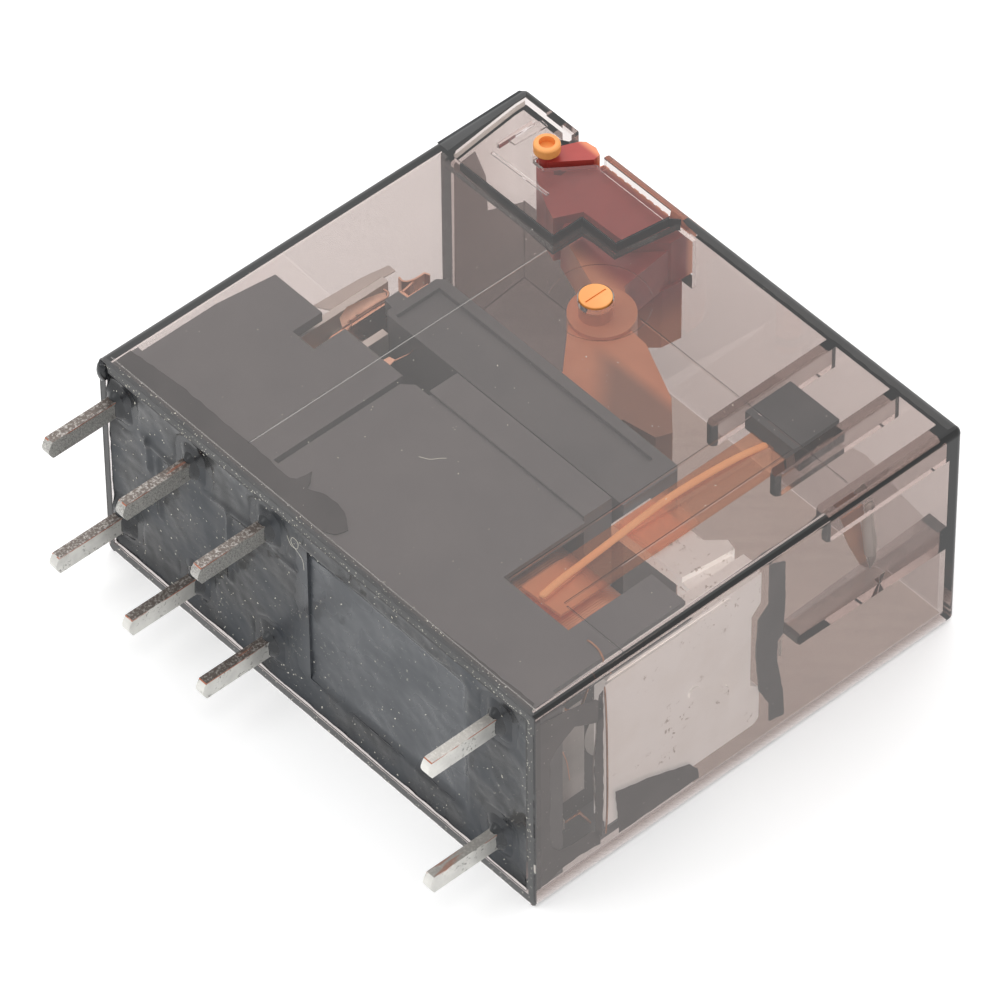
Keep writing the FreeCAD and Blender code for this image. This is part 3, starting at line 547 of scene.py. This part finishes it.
def tube(name, pts, r, mat, body="housing", sides=8, flat=1.0, steps=6):
    """Wire through the points, smoothed, with an optional flattened section (squashed along Z)."""
    P = [Vector(q) for q in pts]
    path = []
    for k in range(len(P) - 1):
        p0, p1, p2, p3 = P[max(k - 1, 0)], P[k], P[k + 1], P[min(k + 2, len(P) - 1)]
        for j in range(steps):
            t = j / steps
            path.append(0.5 * ((2 * p1) + (p2 - p0) * t + (2 * p0 - 5 * p1 + 4 * p2 - p3) * t * t
                               + (3 * p1 - p0 - 3 * p2 + p3) * t * t * t))
    path.append(P[-1])
    verts, faces = [], []
    n = len(path)
    for k, c in enumerate(path):
        d = (path[min(k + 1, n - 1)] - path[max(k - 1, 0)]).normalized()
        ref = Vector((0, 0, 1)) if abs(d.z) < 0.9 else Vector((1, 0, 0))
        u = d.cross(ref).normalized()
        v = u.cross(d)
        rr = r * (0.6 if k in (0, n - 1) else 1.0)
        for m_ in range(sides):
            a = 2 * math.pi * m_ / sides
            verts.append(c + u * math.cos(a) * rr + v * math.sin(a) * rr * flat)
    for k in range(n - 1):
        for m_ in range(sides):
            a, b = k * sides + m_, k * sides + (m_ + 1) % sides
            faces.append((a, b, b + sides, a + sides))
    faces += [tuple(range(sides - 1, -1, -1)), tuple(range((n - 1) * sides, n * sides))]
    return piece(name, verts, faces, mat, body, smooth=True)


def flecks(name, spots, mat, body="housing"):
    """Many small irregular flakes in one mesh; each spot is a centre, a size and the surface's normal."""
    verts, faces = [], []
    for c, r, nrm in spots:
        c, nrm = Vector(c), Vector(nrm).normalized()
        u = nrm.orthogonal().normalized()
        v = nrm.cross(u)
        k = random.randint(4, 6)
        turn, long_ = random.uniform(0, 6.28), random.uniform(1.0, 2.2)
        i0 = len(verts)
        for j in range(k):
            a = 2 * math.pi * j / k
            x, y = math.cos(a) * r * random.uniform(0.6, 1.1) * long_, math.sin(a) * r * random.uniform(0.6, 1.1)
            x, y = x * math.cos(turn) - y * math.sin(turn), x * math.sin(turn) + y * math.cos(turn)
            verts.append(c + u * x + v * y)
        verts.append(c + nrm * r * 0.6)
        verts.append(c - nrm * r * 0.3)
        for j in range(k):
            faces.append((i0 + j, i0 + (j + 1) % k, i0 + k))
            faces.append((i0 + (j + 1) % k, i0 + j, i0 + k + 1))
    return piece(name, verts, faces, mat, body)


# painted dark reflections in the walls of the stepped corner: thin dark sheets set inside the cover's material
def panel(name, pts, shift, mat, body="housing"):
    """Flat sheet through points in space, thickened by a small shift."""
    n = len(pts)
    verts = list(pts) + [tuple(a + b for a, b in zip(q, shift)) for q in pts]
    faces = [tuple(range(n - 1, -1, -1)), tuple(range(n, 2 * n))]
    faces += [(k, (k + 1) % n, n + (k + 1) % n, n + k) for k in range(n)]
    return piece(name, verts, faces, mat, body)


step_line = [(-12.75, 20.0), (-6.47, 20.0), (-6.44, 21.75), (-4.2, 21.77), (-3.8, 24.6), (-3.35, 24.98)]
ribbon("step_web_shade", step_line, [5.3, 4.8, 4.8, 5.2, 5.25, 5.3], 6.27, 0.04, mat_shade)
slab("corner_wall_shade", [(-14.44, 20.1), (-13.72, 20.1), (-13.84, 22.0), (-13.96, 24.4), (-13.96, 25.1), (-14.2, 25.3), (-14.44, 25.1)],
     6.24, 6.27, mat_rim)
# painted light: a pale see-through sheet along the step's wall
ribbon("corner_step_light", [(-13.41, 20.2), (-13.62, 22.0), (-13.87, 24.4), (-13.87, 24.95)], [5.82, 5.82, 5.82, 5.82], 6.12, 0.03, mat_frost_and_light)
# painted shade and dark reflections: see-through dark sheets low in the corner of the contact end and along the lower
# walls
corner_yz = [(20.2, 5.1), (21.6, 5.1), (22.3, 3.0), (22.4, 0.6), (24.86, -0.6), (24.86, -5.68), (20.1, -5.68)]
panel("corner_end_film", [(-13.40 - 0.45 * min(1.0, (y - 20.05) / 4.35), y, z) for y, z in corner_yz], (0.03, 0, 0), mat_corner_shade_film)
slab("corner_top_film", [(-13.86, -5.68), (-5.4, -5.68), (-5.9, -1.4), (-7.2, -0.5), (-13.86, -0.5)], 24.82, 24.85, mat_corner_shade_film, axis="y")
slab("corner_floor_film", [(-14.05, 17.2), (-4.0, 17.6), (-4.6, 24.86), (-13.86, 24.86), (-13.44, 20.1), (-14.05, 19.9)], -5.66, -5.63, mat_corner_shade_film)
slab("bottom_shade_film", [(-3.9, 9.7), (13.8, 9.7), (13.8, 24.8), (-3.9, 24.8)], -5.66, -5.63, mat_bottom_shade_film)
slab("bottom_shade_film_left", [(-14.05, 11.6), (-4.0, 11.6), (-4.0, 17.5), (-14.05, 17.1)], -5.66, -5.63, mat_bottom_shade_film)
slab("wall_shade_film", [(3.0, -5.6), (13.6, -5.6), (13.6, -0.6), (9.0, 0.4), (3.0, -1.2)], 24.82, 24.85, mat_wall_shade_film, axis="y")
# dark rim of the open side
for nm, pts in (("top", [(-14.42, 5.80), (14.42, 5.80), (14.42, 6.22), (-14.42, 6.22)]),
                ("bottom", [(-14.42, -6.20), (-14.1, -6.25), (14.1, -6.25), (14.42, -6.20), (14.42, -5.80), (-14.42, -5.80)]),
                ("left", [(-14.42, -5.80), (-14.20, -5.80), (-14.20, 5.80), (-14.42, 5.80)]),
                ("right", [(14.0, -5.80), (14.42, -5.80), (14.42, 5.80), (14.0, 5.80)])):
    slab("rim_shade_" + nm, pts, 0.05, 0.08, mat_rim, axis="y", wavy=0.03)
# thin dark lines in the lowest edge
slab("low_edge_end", [(0.3, -6.24), (25.0, -6.24), (25.0, -6.12), (0.3, -6.12)], 14.30, 14.33, mat_rim, axis="x", wavy=0.02)
slab("far_edge_shade", [(-3.3, 25.02), (-2.9, 24.92), (14.05, 24.95), (14.05, 25.32), (-3.3, 25.32)], 6.12, 6.15, mat_shade, wavy=0.05)
# resin that crept between the cover and the base along the pin side
slab("resin_creep_top", [(-14.05, 0.12), (13.8, 0.12), (13.6, 0.8), (10.15, 0.72), (6.4, 0.6), (3.3, 0.56), (1.8, 0.55), (0.6, 0.5), (-0.1, 0.64),
                         (0.42, 0.95), (0.6, 1.5), (0.05, 1.96), (-0.9, 2.26), (-1.8, 2.13), (-2.5, 1.81), (-2.67, 2.17), (-3.03, 2.66),
                         (-3.22, 1.83), (-3.44, 1.68), (-6.9, 1.74), (-11.0, 1.75), (-14.05, 1.5)], 5.63, 5.67, mat_creep, wavy=0.07)
slab("resin_creep_end", [(0.12, 5.4), (0.83, 5.26), (1.99, 5.02), (2.86, 4.81), (3.74, 4.47), (4.15, 4.16), (4.21, 3.13), (3.92, 2.9), (2.57, 3.65),
                         (2.1, 3.4), (1.5, 2.98), (1.11, 2.45), (1.1, -3.1), (1.6, -3.89), (2.27, -4.05), (3.46, -4.07), (4.05, -4.4),
                         (4.05, -5.3), (2.87, -5.15), (1.68, -5.15), (0.97, -5.5), (0.12, -5.5)], 13.85, 13.885, mat_resin_film_and_shade, axis="x", wavy=0.06)
slab("resin_creep_left", [(0.12, -5.4), (1.2, -5.4), (1.5, -3.0), (1.25, 0.0), (1.5, 3.0), (1.3, 5.4), (0.12, 5.4)], -14.14, -14.11, mat_resin_film_and_shade,
     axis="x", wavy=0.07)
slab("resin_creep_side", [(3.95, 4.6), (4.2, 4.75), (4.22, 2.2), (4.24, -2.5), (4.15, -4.9), (3.8, -4.6), (3.7, 0.0)], 13.86, 13.885, mat_resin_film_and_shade, axis="x",
     wavy=0.05)
# painted shadow: a dark sheet on the plate where shade falls
slab("plate_shade", [(5.0, -2.6), (7.0, -3.2), (9.4, -4.15), (9.9, -4.8), (10.0, -5.5), (5.2, -5.5)], 13.82, 13.84, mat_resin_film_and_shade, axis="x", wavy=0.05)
slab("end_frame_strip", [(14.2, 5.3), (14.24, 2.69), (13.6, 2.06), (13.5, -0.19), (13.75, -2.7), (14.38, -4.05), (14.41, -5.2), (15.3, -5.4),
                         (15.2, -3.8), (14.8, -1.5), (14.78, -0.15), (15.1, 0.11), (15.2, 2.17), (15.15, 4.8)], 13.62, 13.70, mat_mask, axis="x",
     wavy=0.03)
# painted glint on the dark frame strip
slab("end_frame_glint", [(14.80, -0.25), (15.02, -0.12), (15.0, -1.3), (14.86, -1.2)], 13.70, 13.715, mat_pale_and_glint, axis="x")
tube("white_post", [(13.2, 20.42, 4.5), (13.2, 20.6, 2.6), (13.2, 20.82, 0.6)], 0.24, mat_pale_and_glint, sides=12)
slab("amber_wedge", [(19.0, 4.3), (20.3, 4.3), (20.6, 2.2), (21.2, -1.3), (20.95, -0.9), (19.9, 1.6)], 12.75, 12.85, mat_amber, axis="x")
# bright curved edge of the leaf beside the amber wedge
slab("pale_crescent", [(20.35, 4.3), (20.8, 4.3), (21.25, 2.8), (21.55, 0.8), (21.5, -0.7), (21.22, -1.3), (21.12, -0.2), (21.0, 1.2), (20.7, 2.6)],
     12.86, 12.90, mat_pale_and_glint, axis="x")
# fine wires
tube("wire_top", [(12.3, 4.97, 5.2), (12.43, 4.97, 5.62), (12.99, 4.98, 5.62), (13.5, 4.82, 5.62), (13.78, 4.7, 5.4)], 0.05, mat_glow, sides=6)
tube("wire_end_a", [(13.7, 1.96, 2.36), (13.72, 2.22, 1.41), (13.7, 2.4, 0.08)], 0.035, mat_glow, sides=6)
tube("wire_end_b", [(13.86, 4.3, 4.9), (13.86, 4.42, 2.2), (13.86, 4.48, -2.5), (13.86, 4.4, -4.9)], 0.05, mat_glow, sides=6)
tube("wire_end_c", [(13.7, 3.75, 4.5), (13.72, 3.95, 2.42), (13.7, 3.8, -0.1), (13.72, 3.9, -2.8)], 0.03, mat_pale_and_glint, sides=6)
# bright parts of the contact set seen in the gap of the base
slab("spring_a_lip", [(-9.37, 9.9), (-9.37, 12.3), (-9.42, 12.55), (-9.7, 12.78), (-9.86, 12.5), (-10.05, 11.7), (-10.2, 10.9), (-9.9, 10.2)], 4.84, 4.88, mat_lip,
     "spring_a")
tube("spring_a_line", [(-9.44, 10.3, 4.9), (-9.46, 11.2, 4.9), (-9.43, 12.2, 4.9), (-9.42, 12.6, 4.9), (-9.6, 12.84, 4.9), (-9.9, 12.82, 4.88)], 0.06, mat_glow,
     "spring_a", sides=8)
ribbon("spring_a_hook", [(-10.04, 13.88), (-9.77, 13.82), (-9.59, 13.96), (-9.47, 14.33), (-9.46, 14.9), (-9.22, 15.0)], [3.9, 3.6, 3.4, 3.3, 3.4, 3.8], 4.86,
       0.09, mat_glow, "spring_a")
ribbon("spring_a_stem", [(-9.3, 13.42), (-9.36, 13.8), (-9.47, 14.3)], [3.6, 3.5, 3.4], 4.8, 0.09, mat_copper, "spring_a")
slab("frosted_band", [(-11.50, 10.0), (-11.36, 12.7), (-11.12, 14.2), (-10.66, 14.2), (-10.70, 13.55), (-10.78, 13.4), (-10.78, 10.4)], 4.50, 4.58, mat_frost_and_light)
slab("contact_link", [(-6.87, 9.95), (-6.81, 10.45), (-6.50, 10.52), (-6.36, 9.97)], 4.52, 4.58, mat_glow)
tube("contact_streak", [(-6.5, 10.4, 4.55), (-6.4, 11.2, 4.52), (-6.47, 11.6, 4.5)], 0.05, mat_copper, sides=6)
# pale line in the mould groove
slab("groove_line", [(-6.03, 1.6), (-5.97, 1.6), (-5.97, 19.2), (-6.03, 19.2)], 6.28, 6.295, mat_line)
tube("tine_line", [(-9.2, 10.3, 4.95), (-8.9, 9.6, 4.95), (-8.6, 8.6, 4.95)], 0.05, mat_glow, sides=6)
# bright rib of the indicator strip, with a painted glow from its emission
tube("strip_rib", [(8.97, 5.35, 5.33), (8.81, 6.6, 5.33), (8.74, 7.84, 5.33), (8.62, 9.73, 5.33), (8.49, 11.62, 5.33), (8.41, 13.5, 5.33),
                   (8.46, 15.2, 5.33), (8.6, 16.9, 5.33), (8.75, 17.9, 5.33), (8.95, 18.8, 5.33)], 0.2, mat_stripe, "armature_group",
     sides=8, flat=0.45)
# stepped corner: tongue, faint ledge, and beside the ring pin a painted shade of a recess and a painted lit edge
slab("corner_tongue", [(-12.7, 22.85), (-12.6, 24.85), (-12.15, 24.8), (-12.25, 22.9)], 5.79, 5.9, mat_cover)
slab("floor_ledge", [(-12.6, 21.72), (-8.9, 21.8), (-8.9, 21.95), (-12.6, 21.87)], 5.79, 5.87, mat_cover)
# painted shade: a dark red sheet where the recess beside the ring pin lies in shade
slab("ring_side_shade", [(-10.22, 23.42), (-9.95, 23.2), (-9.7, 23.4), (-9.72, 23.75), (-10.0, 23.85), (-10.2, 23.7)], 5.2, 5.215, mat_red_shade, "lever")
slab("ring_side_light", [(-10.0, 24.2), (-9.75, 24.1), (-9.1, 24.62), (-9.15, 24.8), (-9.4, 24.8)], 5.2, 5.212, mat_lit, "lever")


# ------------------------------------------------------------------ poured resin on the pin side
pins = [(x, z) for x in (-13.55, -8.47, -3.39, 11.85) for z in (3.81, -3.81)]


def smooth(a, b, v):
    t = min(1.0, max(0.0, (v - a) / (b - a)))
    return t * t * (3 - 2 * t)


def resin_y(x, z):
    """Height of the poured surface; smaller is further out, towards the tips of the pins."""
    p3 = Vector((x, z, 0))
    y = 0.27 + 0.05 * noise.noise(p3 * 0.55) + 0.03 * noise.noise(p3 * 1.6) + 0.012 * noise.noise(p3 * 5.0)
    wall = min(x + 14.14, 13.89 - x, 5.69 - abs(z))
    y -= 0.14 * math.exp(-wall / 0.35)
    for px, pz in pins:
        dx, dz = max(0.0, abs(x - px) - 0.25), max(0.0, abs(z - pz) - 0.5)
        d = math.hypot(dx, dz)
        y -= 0.20 * math.exp(-(d / 0.42) ** 2) - 0.10 * math.exp(-((d - 0.75) / 0.22) ** 2)
    inside = smooth(-2.0, -0.5, x) * smooth(9.9, 9.3, x) * smooth(-4.25, -3.7, z) * smooth(4.45, 3.9, z)
    y += 0.20 * inside
    for rx, z0, z1 in ((-10.9, -1.6, 2.3), (-6.1, -1.9, 2.7), (-11.6, 1.0, 3.0)):
        y -= 0.16 * math.exp(-((x - rx) / 0.13) ** 2) * smooth(z0 - 0.3, z0 + 0.2, z) * smooth(z1 + 0.3, z1 - 0.2, z)
    y -= 0.10 * math.exp(-((z - 2.7 - 0.15 * math.sin(x * 0.9)) / 0.2) ** 2) * smooth(-12.4, -11.8, x) * smooth(-1.0, -1.8, x)
    return min(0.5, max(0.03, y))


def resin_skin():
    nx, nz = 236, 96
    x0, x1, z0, z1 = -14.13, 13.88, -5.68, 5.68
    verts, faces = [], []
    for j in range(nz + 1):
        z = z0 + (z1 - z0) * j / nz
        for i in range(nx + 1):
            x = x0 + (x1 - x0) * i / nx
            verts.append((x, resin_y(x, z), z))
    w = nx + 1
    blocked = set()
    for j in range(nz):
        for i in range(nx):
            x, z = x0 + (x1 - x0) * (i + 0.5) / nx, z0 + (z1 - z0) * (j + 0.5) / nz
            if any(abs(x - px) < 0.2 and abs(z - pz) < 0.44 for px, pz in pins):
                continue
            a = j * w + i
            faces.append((a, a + 1, a + 1 + w, a + w))
    return piece("resin_surface", verts, faces, mat_resin, "housing", smooth=True)


resin_skin()


def collars():
    """Dark menisci of resin drawn up round each pin, all in one mesh."""
    verts, faces = [], []
    rings, sides = 5, 22
    for k, (px, pz) in enumerate(pins):
        i0 = len(verts)
        for j in range(rings):
            t = j / (rings - 1)
            for m_ in range(sides):
                a = 2 * math.pi * m_ / sides
                c, d = math.cos(a), math.sin(a)
                wob = 1 + 0.16 * noise.noise(Vector((c * 1.4, d * 1.4, k * 3.1)))
                rx, rz = 0.30 + 0.40 * (1 - t) * wob, 0.56 + 0.36 * (1 - t) * wob
                x, z = px + rx * c, pz + rz * d
                x = min(13.84, max(-14.10, x))
                y = resin_y(x, z) + 0.03 - 0.26 * t ** 1.6
                verts.append((x, max(-0.18, y), z))
        for j in range(rings - 1):
            for m_ in range(sides):
                a, b = i0 + j * sides + m_, i0 + j * sides + (m_ + 1) % sides
                faces.append((a, b, b + sides, a + sides))
        faces.append(tuple(range(i0 + sides - 1, i0 - 1, -1)))
        faces.append(tuple(range(i0 + (rings - 1) * sides, i0 + rings * sides)))
    return piece("pin_collars", verts, faces, mat_collar, "housing", smooth=True)


collars()
spots = []
for _ in range(900):
    x, z = random.uniform(-13.9, 13.7), random.uniform(-5.5, 5.5)
    wall = min(x + 14.14, 13.89 - x, 5.69 - abs(z))
    keep = 0.25 + 0.75 * math.exp(-wall / 0.6) + 0.35 * (x < 0) + 0.3 * noise.noise(Vector((x, z, 9.0)) * 0.6)
    if random.random() < keep * 0.7:
        spots.append(((x, resin_y(x, z) - 0.005, z), random.uniform(0.015, 0.045), (random.uniform(-0.3, 0.3), -1, random.uniform(-0.3, 0.3))))
flecks("dust_on_resin", spots, mat_dust)
rim = []
for _ in range(420):
    side = random.choice("tttbl")
    if side == "t":
        c = (random.uniform(-14.2, 14.2), -0.004, random.uniform(5.75, 6.15))
    elif side == "b":
        c = (random.uniform(-14.0, 14.2), -0.004, random.uniform(-6.15, -5.8))
    else:
        c = (random.uniform(13.95, 14.3), -0.004, random.uniform(-5.8, 5.8))
    rim.append((c, random.uniform(0.012, 0.035), (0, -1, 0)))
flecks("dust_on_rim", rim, mat_dust)
top = []
for _ in range(150):
    x, y = random.uniform(-14.0, 14.0), random.uniform(0.4, 25.0)
    if x < -3.0 and y > 19.8:
        continue
    top.append(((x, y, 6.302), random.uniform(0.012, 0.03), (0, 0, 1)))
for _ in range(90):
    x = random.uniform(-14.2, 14.2)
    top.append(((x, random.uniform(0.05, 0.35), 6.302), random.uniform(0.012, 0.03), (0, 0, 1)))
flecks("dust_on_top", top, mat_dust)
end_dust = []
for _ in range(130):
    y = random.uniform(0.4, 24.0)
    end_dust.append(((14.485, y if random.random() < 0.5 else random.uniform(0.3, 4.0), random.uniform(-5.9, 5.9)), random.uniform(0.012, 0.024), (1, 0, 0)))
flecks("dust_on_end", end_dust, mat_dust)
# a curly fibre on the resin and a short one on the broad side
tube("fibre_resin", [(-1.9, 0.12, 4.6), (-1.6, 0.1, 4.2), (-1.2, 0.1, 4.3), (-1.15, 0.1, 4.75), (-1.5, 0.1, 4.8), (-1.55, 0.08, 4.4), (-0.9, 0.1, 3.9),
                     (-0.8, 0.12, 3.2)], 0.011, mat_dust, sides=5)
tube("fibre_top", [(-0.35, 6.5, 6.31), (0.1, 6.75, 6.315), (0.35, 7.1, 6.315), (0.55, 7.35, 6.31)], 0.011, mat_dust, sides=5)


def drip():
    """Small run of resin on the corner of the rim beside the first pin."""
    verts, faces = [], []
    rings, sides = 9, 12
    for k in range(rings):
        t = k / (rings - 1)
        zc = 5.15 + 1.02 * t
        r = 0.30 * math.sin(math.pi * (0.12 + 0.76 * t)) ** 0.6
        for m_ in range(sides):
            a = 2 * math.pi * m_ / sides
            wob = 1 + 0.12 * noise.noise(Vector((math.cos(a), math.sin(a), zc * 2)))
            verts.append((max(-14.5, -14.17 + math.cos(a) * r * wob * 1.1), -0.05 + math.sin(a) * r * wob * 0.95, zc))
    for k in range(rings - 1):
        for m_ in range(sides):
            a, b = k * sides + m_, k * sides + (m_ + 1) % sides
            faces.append((a, b, b + sides, a + sides))
    faces += [tuple(range(sides - 1, -1, -1)), tuple(range((rings - 1) * sides, rings * sides))]
    return piece("resin_drip", verts, faces, mat_resin, "housing", smooth=True)


drip()
# black seam along the near vertical edge
for k, (z0, z1, w) in enumerate(((5.2, 1.3, 0.10), (0.9, -1.6, 0.13), (-1.8, -3.3, 0.09), (-4.1, -5.9, 0.14))):
    slab("corner_seam_%s" % "abcd"[k], [(14.47 - w, z0), (14.485, z0), (14.485, z1), (14.47 - w * 0.7, z1)], 0.0, 0.03, mat_shade, axis="y", wavy=0.0)
# painted glint: a pale fleck on the near vertical edge
slab("corner_seam_chip", [(14.38, -3.42), (14.48, -3.4), (14.48, -3.95), (14.40, -3.9)], 0.0, 0.03, mat_pale_and_glint, axis="y")
slab("rim_line_dark", [(-14.2, 0.04), (14.3, 0.04), (14.3, 0.20), (-14.2, 0.20)], 6.270, 6.280, mat_shade, wavy=0.02)
slab("rim_line_pale", [(-14.1, 0.36), (14.2, 0.36), (14.2, 0.42), (-14.1, 0.42)], 6.270, 6.280, mat_line)


# ------------------------------------------------------------------ stage and light
def stage():
    floor_z = -0.0063
    me = bpy.data.meshes.new("floor")
    s = 3.0
    me.from_pydata([(-s, -s, floor_z), (s, -s, floor_z), (s, s, floor_z), (-s, s, floor_z)], [], [(0, 1, 2, 3)])
    fl = bpy.data.objects.new("floor", me)
    scene.collection.objects.link(fl)
    m = Mat("floor_pale")
    tone = m.noise(3.0, 2.0)
    sh = m.pbr(color=m.mix(tone, (0.93, 0.93, 0.93), (0.90, 0.90, 0.90)), rough=0.9, spec=0.2)
    sh.inputs["Emission Color"].default_value = (1, 1, 1, 1)
    sh.inputs["Emission Strength"].default_value = 0.28
    fl.data.materials.append(m.done(sh))
    w = bpy.data.worlds.new("studio")
    scene.world = w
    w.use_nodes = True
    w.node_tree.nodes["Background"].inputs[0].default_value = (1, 1, 1, 1)
    w.node_tree.nodes["Background"].inputs[1].default_value = 0.85

    def area(name, direction, dist, size, radiance, to=(0, 0.012, 0)):
        d = bpy.data.lights.new(name, "AREA")
        d.shape = "RECTANGLE"
        d.size, d.size_y = size
        d.energy = radiance * math.pi * size[0] * size[1]
        o = bpy.data.objects.new(name, d)
        v = Vector(direction).normalized()
        o.location = Vector(to) + v * dist
        o.rotation_mode = "QUATERNION"
        o.rotation_quaternion = (-v).to_track_quat("-Z", "Y")
        scene.collection.objects.link(o)
        return o

    area("softbox_back", (-0.50, 0.46, 0.73), 0.5, (0.42, 0.42), 1.05)
    area("softbox_key", (-0.6, -0.75, 0.9), 0.6, (0.3, 0.3), 1.9)
    area("softbox_top", (0.1, -0.2, 1.0), 0.6, (0.3, 0.3), 1.6)


stage()
